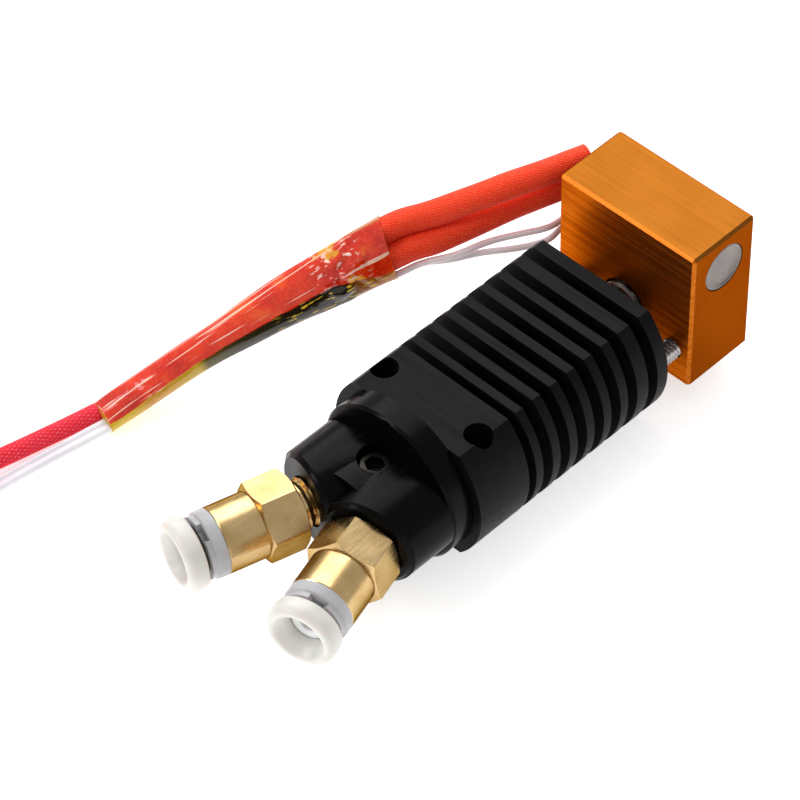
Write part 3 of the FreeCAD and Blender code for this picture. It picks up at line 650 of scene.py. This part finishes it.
# Darker colour for the collar's stem: painted shade of the window recess, with the brass behind it.
SHADED_STEM = plastic("collar_stem_painted_shade_look", srgb(70, 66, 48), srgb(98, 92, 70), 0.4).material
LINER = plastic("liner_look", srgb(232, 232, 230), srgb(246, 246, 245), 0.35,
                Subsurface_Weight=0.3, Subsurface_Scale=0.001).material
WHITE_WIRE = plastic("white_wire_look", srgb(242, 240, 248), srgb(250, 250, 254), 0.32,
                     900.0, 0.01).material
CLEAR_WIRE = plastic("clear_wire_look", srgb(246, 222, 226), srgb(254, 244, 247), 0.22, 1200.0, 0.01,
                     Coat_Weight=0.4, Coat_Roughness=0.1).material
LEAD_WIRE = plastic("lead_wire_look", srgb(222, 214, 200), srgb(238, 232, 222), 0.5, 4000.0, 0.02).material
GLASS_BEAD = plastic("glass_bead_look", srgb(190, 150, 92), srgb(216, 182, 124), 0.15,
                     Coat_Weight=0.5).material
BLACK_BOOT = plastic("black_boot_look", srgb(20, 20, 21), srgb(34, 34, 35), 0.42, 2500.0, 0.015).material
SEAL = plastic("seal_rubber_look", srgb(18, 18, 18), srgb(28, 28, 28), 0.5).material
BLACK_ANODISED = black_anodised()
BLACK_ADAPTER = black_adapter()
ORANGE = orange_anodised()
RED_SLEEVE = braid("red_sleeving_look", srgb(234, 36, 8), srgb(255, 68, 30), srgb(255, 146, 104),
                   carriers=28.0, pitch=18.0)
PINK_SLEEVE = braid("pink_sleeve_look", srgb(222, 20, 44), srgb(252, 52, 72), srgb(255, 150, 160),
                    carriers=14.0, pitch=11.0)
TAPE_FILM = tape_film()

# ---------------------------------------------------------------- cords


def piece(thing, material, nodes, body=BODY):
    """Finish a piece that stands for those CAD nodes."""
    nodes = [nodes] if isinstance(nodes, str) else nodes
    thing.data.materials.clear()
    thing.data.materials.append(material)
    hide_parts(*nodes)
    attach(thing, body)
    return thing


WIRE_OUTLINE = 150.0


def twin_section(half_width, radius):
    """Two round wires side by side; each shows its outline to so many degrees from its side."""
    def section(a, distance):
        side = 1.0 if math.cos(a) >= 0 else -1.0
        local = (a + math.pi / 2) % math.tau - math.pi / 2 if side > 0 else math.pi - a
        local *= WIRE_OUTLINE / 90.0
        return side * (half_width - radius + radius * math.cos(local)), radius * math.sin(local)
    return section


SLEEVE_SWELL = 0.05


def sleeve(name, points):
    """A braided sleeve with slightly uneven thickness."""
    line = line_of(points)
    radius = SLEEVE_DIAMETER / 2

    def section(a, distance):
        place = Vector((distance * 220, math.cos(a) * 0.8, math.sin(a) * 0.8 + radius))
        r = radius * (1 + SLEEVE_SWELL * noise.noise(place))
        return r * math.cos(a), r * math.sin(a)
    return tube_mesh(name, line, section, 40), line


upper_sleeve, upper_line = sleeve("heater_sleeve_upper_look", UPPER_SLEEVE)
lower_sleeve, lower_line = sleeve("heater_sleeve_lower_look", LOWER_SLEEVE)
piece(upper_sleeve, RED_SLEEVE, "heater_sleeve_upper")
piece(lower_sleeve, RED_SLEEVE, "heater_sleeve_lower")
lead_upper = curve_object("heater_lead_upper_look", LEAD_UPPER, LEAD_DIAMETER)
lead_lower = curve_object("heater_lead_lower_look", LEAD_LOWER, LEAD_DIAMETER)
piece(lead_upper, LEAD_WIRE, "heater_lead_upper")
piece(lead_lower, LEAD_WIRE, "heater_lead_lower")
wire_a = curve_object("sensor_wire_a_look", SENSOR_WIRE_A, SENSOR_WIRE_DIAMETER)
wire_b = curve_object("sensor_wire_b_look", SENSOR_WIRE_B, SENSOR_WIRE_DIAMETER)
piece(wire_a, CLEAR_WIRE, "sensor_wire_a")
piece(wire_b, CLEAR_WIRE, "sensor_wire_b")

heater_coil, heater_end, heater_way = coil_route(HEATER_COIL, HEATER_CABLE_DIAMETER)
sensor_coil = coil_route(SENSOR_COIL, SENSOR_CABLE_DIAMETER)[0]
heater_line = line_of(HEATER_CABLE + heater_coil)
sensor_line = line_of(SENSOR_CABLE + sensor_coil)
heater_section = round_section(HEATER_CABLE_DIAMETER / 2)
sensor_section = twin_section(SENSOR_CABLE_DIAMETER / 2, SENSOR_CABLE_DIAMETER / 4)
heater_cable = tube_mesh("heater_cable_look", heater_line, heater_section, 24)
sensor_cable = tube_mesh("sensor_cable_look", sensor_line, sensor_section, 24, keep_up=True)
piece(heater_cable, PINK_SLEEVE, ["heater_cable", "heater_cable_coil", "heater_cable_tail"])
piece(sensor_cable, WHITE_WIRE, ["sensor_cable", "sensor_cable_coil", "sensor_cable_tail"])

# ---------------------------------------------------------------- tape

# Sections from the hotend on: middle, half width, half height, and roll in degrees.
TAPE = [
    ((17.1, 23.4, 10.0), 3.75, 2.1, 55),
    ((10.8, 26.5, 7.6), 3.3, 2.0, 50),
    ((3.5, 29.7, 4.95), 2.7, 1.9, 35),
    ((-4.3, 32.3, 2.6), 2.2, 1.8, 20),
    ((-10.8, 34.0, 0.75), 2.2, 1.6, 10),
    ((-16.9, 35.2, -0.55), 2.25, 1.4, 0),
]
TAPE_LEAVES = (-6.1, 1.3, -0.2)
TAPE_ROWS = 300
TAPE_SEGMENTS = 96
TAPE_END_SHARE = 0.01
SLANT = 0.75
SLANT_SHARE = 0.1
KNOT_SHARE = 0.17
SECOND_KNOT_SHARE = 0.81
DEEPEST_CREASE = -0.04
FRONT = Vector((-0.473, -0.483, 0.736))
LOWER = Vector((-0.515, -0.526, -0.676))


def eased(values, t):
    """Catmull-Rom through the values at t from 0 to len - 1."""
    i = min(int(t), len(values) - 2)
    f = t - i
    p = [values[max(0, min(len(values) - 1, i + k))] for k in (-1, 0, 1, 2)]
    return (p[1] * 2 + (p[2] - p[0]) * f + (p[0] * 2 - p[1] * 5 + p[2] * 4 - p[3]) * f * f
            + (p[1] * 3 - p[0] - p[2] * 3 + p[3]) * f ** 3) * 0.5


def bell(x, centre, width):
    """A smooth bump, 1 at its centre."""
    return math.exp(-((x - centre) / width) ** 2)


def wrinkle(share, phi, where):
    """How far the film stands off, in millimetres, at a place along and round the bundle."""
    creases = noise.noise(Vector((share * 6, phi * 1.7, 3.1))) * 0.12
    creases += abs(noise.noise(Vector((share * 5, phi * 3.0, 7.7)))) * 0.1
    knot = bell(share, KNOT_SHARE, 0.075) * (0.12 + 0.88 * bell(phi, 0.15, 0.8))
    second = bell(share, SECOND_KNOT_SHARE, 0.035) * bell(phi, 0.25, 0.8)
    folds = abs(noise.noise(where * 0.5 + Vector((9, 2, 5)))) * 1.7 + noise.noise(where * 1.2) * 0.3
    return max(DEEPEST_CREASE, creases + (knot * 0.75 + second * 0.5) * folds - 0.06)


def tape_mesh():
    """The taped bundle; u runs from the back over the upper side, the front and the lower side."""
    places = [Vector(section[0]) for section in TAPE]
    widths, heights, rolls = ([float(section[k]) for section in TAPE] for k in (1, 2, 3))
    verts, faces, marks = [], [], []
    last = len(TAPE) - 1
    for row in range(TAPE_ROWS + 1):
        share = row / TAPE_ROWS
        t = share * last
        centre = eased(places, t)
        along = (eased(places, min(last, t + 0.02)) - eased(places, max(0, t - 0.02))).normalized()
        along = along.lerp(Vector(TAPE_LEAVES).normalized(), max(0.0, t - last + 1) ** 2).normalized()
        level = along.cross(UP).normalized()
        raised = level.cross(along)
        roll = math.radians(eased(rolls, t))
        across = level * math.cos(roll) + raised * math.sin(roll)
        over = along.cross(across)
        zero = math.atan2(FRONT.dot(over), FRONT.dot(across))
        way = 1.0 if (over * math.cos(zero) - across * math.sin(zero)).dot(LOWER) > 0 else -1.0
        for k in range(TAPE_SEGMENTS):
            phi = math.tau * k / TAPE_SEGMENTS - math.pi
            a = zero + way * phi
            x, y = math.cos(a), math.sin(a)
            point = across * x * eased(widths, t) + over * y * eased(heights, t)
            where = centre + point
            out = (across * x / eased(widths, t) + over * y / eased(heights, t)).normalized()
            fade = min(1.0, share / TAPE_END_SHARE, (1 - share) / TAPE_END_SHARE)
            slant = along * SLANT * math.sin(phi) * max(0.0, 1.0 - share / SLANT_SHARE)
            verts.append((where + slant + out * wrinkle(share, phi, where) * fade) * MM)
        marks.append(share)
    for row in range(TAPE_ROWS):
        faces += band(row, row + 1, TAPE_SEGMENTS)
    faces += end_caps(TAPE_ROWS, TAPE_SEGMENTS)
    if way < 0:
        faces = [face[::-1] for face in faces]
    thing = mesh_object("tape_wrap_look", verts, faces, sharp=70.0)
    wrap_uv(thing, "film", TAPE_SEGMENTS, marks)
    return thing


piece(tape_mesh(), TAPE_FILM, "tape_wrap")

# ---------------------------------------------------------------- machined pieces

AXIS_Z = 7.75
PIVOT = Vector((0.75, 0, AXIS_Z))
BOSS_ANGLE = math.radians(16.0)
BLOCK_SIDE = 10.0
THREAD_PITCH = 1.0
THREAD_RADIUS = 2.95
STUD_PITCH = 0.5
STUD_RADIUS = 1.24
STUD_THREAD_DEPTH = 0.26
STUD_ROOT = 1.05
STUD_SIDE = 7.4
STUD_Z = 5.44
STUD_START = 24.9
STUD_END = 41.75
STUD_SOCKET_ACROSS = 1.5


def cad_look(node, width, material):
    """A CAD node with softened edges and a finish."""
    thing = softened(node, width)
    thing.data.materials.clear()
    thing.data.materials.append(material)
    return thing


cad_look("heatsink", 0.09, BLACK_ANODISED)
cad_look("y_adapter", 0.14, BLACK_ADAPTER)
cad_look("heater_block", 0.22, ORANGE)
cad_look("adapter_set_screw", 0.06, BLACK_STEEL)
cad_look("heater_set_screw", 0.05, BLACK_STEEL)


def stud(name, side):
    """A threaded stud along X with a socket in its outer end."""
    start, end = STUD_START, STUD_END
    place = placed((0, side * STUD_SIDE, STUD_Z), (1, 0, 0))
    socket = hexagon_radius(STUD_SOCKET_ACROSS)
    rows = [(0.0, start), (0.9, start), (STUD_ROOT, start + 0.15)]
    rows += thread_rows(STUD_RADIUS, STUD_THREAD_DEPTH, STUD_PITCH, start + 0.2, end - 0.2)
    rows += [(STUD_ROOT, end), (socket, end), (socket, end - 1.6), (0.0, end - 1.8)]
    return turned(name, rows, place, 64)


def joined(name, things):
    """One object from several, in their order."""
    bm = bmesh.new()
    for thing in things:
        bm.from_mesh(thing.data)
    mesh = bpy.data.meshes.new(name)
    bm.to_mesh(mesh)
    bm.free()
    for thing in things:
        bpy.data.objects.remove(thing)
    whole = bpy.data.objects.new(name, mesh)
    bpy.context.scene.collection.objects.link(whole)
    mesh.set_sharp_from_angle(angle=math.radians(35.0))
    return whole


piece(joined("support_screws_look", [stud("stud_a", -1), stud("stud_b", 1)]), STEEL, "support_screws")

axis_place = placed((0, 0, AXIS_Z), (1, 0, 0))
neck = [(1.0, 18.0), (THREAD_RADIUS, 18.0)]
neck += thread_rows(THREAD_RADIUS, 0.5, THREAD_PITCH, 18.1, 27.2)
neck += [(1.6, 27.25), (1.6, 29.8), (2.8, 29.85)]
neck += thread_rows(THREAD_RADIUS, 0.5, THREAD_PITCH, 29.9, 35.7)
piece(turned("heat_break_look", neck + [(1.0, 35.75)], axis_place, closed=True), DULL_STEEL, "heat_break")

cartridge = [(0.0, 0.1), (0.7, 0.12), (1.3, 0.17), (1.9, 0.24), (2.35, 0.28), (2.6, 0.2), (2.74, 0.06),
             (2.86, 0.02), (2.96, 0.08), (3.0, 0.2), (3.0, 19.85), (2.85, 20.0), (0.0, 20.0)]
cartridge_place = placed((35.85, -BLOCK_SIDE, 16.32), (0, 1, 0))
piece(turned("heater_cartridge_look", cartridge, cartridge_place), DULL_STEEL, "heater_cartridge")

nozzle_hex = hexagon_rows(7.0, 40.95, 43.95, 30.0, 3.42)
nozzle = [(2.7, 35.95), (2.95, 36.2)] + thread_rows(2.94, 0.45, THREAD_PITCH, 36.3, 40.9) + nozzle_hex
nozzle += [(3.2, 43.97), (0.62, 47.05), (0.5, 47.15), (0.2, 47.15)]
nozzle += [(0.2, 46.35), (1.0, 45.15), (1.0, 35.95)]
piece(turned("nozzle_look", nozzle, axis_place, closed=True), BRASS, "nozzle")

bead = [(0.0, 0.0), (0.8, 0.02), (1.15, 0.2), (1.3, 0.55), (1.3, 4.6), (1.0, 5.0), (0.0, 5.0)]
bead_place = placed((35.75, BLOCK_SIDE, 10.42), (0, -1, 0))
piece(turned("thermistor_bead_look", bead, bead_place), GLASS_BEAD, "thermistor_bead")


def liner_rows(start, end):
    """A length of the 4 mm liner with its outer edges broken."""
    outside = [(1.9, start), (2.0, start + 0.1), (2.0, end - 0.1), (1.9, end)]
    return [(1.0, start)] + outside + [(1.05, end), (1.0, end - 0.05)]


piece(turned("filament_liner_lower_look", liner_rows(-2.1, 23.8), axis_place, closed=True), LINER,
      "filament_liner_lower")

# ---------------------------------------------------------------- push-fit fittings


HEX_ACROSS = 8.2
HEX_CONE = 3.98
LINER_BORE = 2.08
RING_BORE = 2.82
RING_LAND = 3.6
WINDOW_DEPTH = 0.78
WINDOW_HALF_ANGLE = 0.3
SEAL_POINTS = 16


def fitting_rows(turn):
    """The brass body: thread, hexagon and barrel, then its bore."""
    rows = [(2.55, -5.0), (THREAD_RADIUS, -4.6)]
    rows += thread_rows(THREAD_RADIUS, 0.42, THREAD_PITCH, -4.6, -0.35)
    rows += [(2.6, -0.3), (2.6, -0.02)]
    rows += hexagon_rows(HEX_ACROSS, 0.0, 4.8, turn, HEX_CONE)
    rows += [(3.85, 4.82), (3.85, 9.35), (3.72, 9.5), (3.22, 9.5), (3.22, 4.3)]
    rows += [(LINER_BORE, 4.3), (LINER_BORE, -5.0)]
    return rows


def ring_rows(window):
    """The white ring; its outer land is open where the window faces."""
    def land(a):
        off = abs((a - window + math.pi) % math.tau - math.pi)
        return RING_LAND - WINDOW_DEPTH * min(1.0, max(0.0, (WINDOW_HALF_ANGLE - off) / 0.03))
    rows = [(RING_BORE, 8.3), (3.18, 8.3), (3.18, 9.5), (3.85, 9.5), (3.85, 10.55), (3.8, 10.75)]
    return rows + [(3.62, 10.9), (land, 10.92), (land, 11.5), (RING_BORE, 11.5)]


COLLAR_PROFILE = [
    (2.15, 7.2), (2.35, 7.2), (2.55, 7.6), (2.55, 12.06), (3.85, 12.06), (4.05, 12.14),
    (4.15, 12.4), (4.15, 13.4), (4.1, 13.75), (3.95, 14.07), (3.7, 14.29), (3.4, 14.39),
    (3.15, 14.36), (2.95, 14.2), (2.72, 13.85), (2.4, 13.45), (2.2, 13.1), (2.15, 12.8),
]
STEM_INSIDE = 2.3
STEM_OUTSIDE = 2.6
STEM_END = 12.05


def fitting(side_name, side, seat, turn, tube_end, window):
    """A push-fit with its tube; seat and tube_end are distances from the pivot."""
    direction = Vector((-math.cos(BOSS_ANGLE), side * math.sin(BOSS_ANGLE), 0))
    place = placed(PIVOT + direction * seat, direction)

    def named(kind):
        return kind + "_" + side_name
    body = turned(named("fitting_body") + "_look", fitting_rows(turn), place, 192, closed=True, sharp=32.0)
    piece(body, BRASS, named("fitting_body"))
    piece(turned(named("guide_ring") + "_look", ring_rows(window), place, 192, closed=True), WHITE_RING,
          named("guide_ring"))
    collar = turned(named("release_collar") + "_look", COLLAR_PROFILE, place, closed=True, sharp=50.0)
    piece(collar, COLLAR, named("release_collar"), side_name + "_collar")
    # Stem faces inside the window get the painted-shade material.
    collar.data.materials.append(SHADED_STEM)
    inverse = place.inverted()
    for face in collar.data.polygons:
        centre = inverse @ face.center
        radius = math.hypot(centre.x, centre.y)
        stem = STEM_INSIDE < radius < STEM_OUTSIDE and centre.z < STEM_END
        face.material_index = 1 if stem else 0
    grip = [(2.06, 6.0), (3.0, 6.35), (3.1, 6.35), (3.1, 6.55), (3.0, 6.55), (2.06, 6.2)]
    piece(turned(named("grip_ring") + "_look", grip, place, closed=True), STEEL, named("grip_ring"))
    seal = []
    for k in range(SEAL_POINTS):
        a = math.tau * k / SEAL_POINTS - math.pi / 2
        seal.append((2.62 + 0.55 * math.cos(a), 5.05 + 0.55 * math.sin(a)))
    piece(turned(named("o_ring") + "_look", seal, place, closed=True), SEAL, named("o_ring"))
    tube_rows = liner_rows(7.6 - seat, tube_end - seat)
    piece(turned(named("filament_liner") + "_look", tube_rows, place, closed=True), LINER,
          named("filament_liner"))


fitting("left", 1, seat=17.6, turn=41.9, tube_end=26.0, window=math.radians(-16))
fitting("right", -1, seat=16.1, turn=9.6, tube_end=28.3, window=math.radians(-14))

# ---------------------------------------------------------------- cable ends

heater_place = placed(heater_end / MM, heater_way)
boot_profile = [(0.0, 0.0), (1.12, 0.0), (1.2, 0.15), (1.24, 1.2), (1.34, 1.6), (1.35, 4.4),
                (1.2, 4.9), (0.9, 5.0), (0.0, 4.95)]
boot = piece(turned("heater_cable_boot_look", boot_profile, heater_place), BLACK_BOOT, "heater_cable_boot")
FERRULE_SIDE = 0.75
ferrule_profile = [(0.0, 5.0), (0.62, 5.0), (0.7, 5.1), (0.7, 8.6), (0.62, 8.9), (0.45, 9.05),
                   (0.45, 14.8), (0.35, 15.0), (0.0, 15.0)]
crimps = []
for side in (-1, 1):
    place = heater_place @ Matrix.Translation((0, side * FERRULE_SIDE, 0))
    crimps.append(turned("ferrule_%d" % side, ferrule_profile, place, 48))
ferrules = piece(joined("heater_ferrules_look", crimps), TIN, "heater_ferrules")
plug = cad_look("sensor_plug", 0.12, WHITE_RING)
contacts = cad_look("sensor_contacts", 0.06, TIN)

# ---------------------------------------------------------------- room

WORLD_STRENGTH = 0.6
FLOOR_HALF = 3.0
FLOOR_GLOW = 0.62

bpy.context.scene.view_settings.view_transform = "Standard"
world = bpy.data.worlds.new("world")
bpy.context.scene.world = world
world.use_nodes = True
background = world.node_tree.nodes["Background"]
background.inputs["Color"].default_value = grey(1.0)
background.inputs["Strength"].default_value = WORLD_STRENGTH


def floor():
    """The table the hotend lies on, which glows a little so that it shows white."""
    mesh = bpy.data.meshes.new("floor")
    corners = [(x * FLOOR_HALF, y * FLOOR_HALF, TABLE_Z) for x, y in ((-1, -1), (1, -1), (1, 1), (-1, 1))]
    mesh.from_pydata(corners, [], [(0, 1, 2, 3)])
    thing = bpy.data.objects.new("floor", mesh)
    bpy.context.scene.collection.objects.link(thing)
    look = Finish("floor_look", Roughness=0.9, Specular_IOR_Level=0.1, Emission_Strength=FLOOR_GLOW)
    look.shader.inputs["Emission Color"].default_value = grey(1.0)
    look.feed("Base Color", look.ramp(look.noise(12.0), (0.3, grey(0.88)), (0.7, grey(0.9))))
    mesh.materials.append(look.material)


def soft_light(name, place, aim, size, power):
    """A rectangular light of so many watts that faces a point; places and sizes in metres."""
    data = bpy.data.lights.new(name, "AREA")
    data.shape = "RECTANGLE"
    data.size, data.size_y = size
    data.energy = power
    light = bpy.data.objects.new(name, data)
    bpy.context.scene.collection.objects.link(light)
    way = (Vector(aim) - Vector(place)).normalized()
    turn = way.to_track_quat("-Z", "Y").to_matrix().to_4x4()
    light.matrix_world = Matrix.Translation(Vector(place)) @ turn


floor()
soft_light("above", (0.36, 0.38, 0.58), aim=(0.01, 0.01, 0.0), size=(0.7, 0.7), power=4.8)
soft_light("left", (-0.55, 0.36, 0.36), aim=(0.0, 0.01, 0.01), size=(0.16, 0.24), power=1.5)
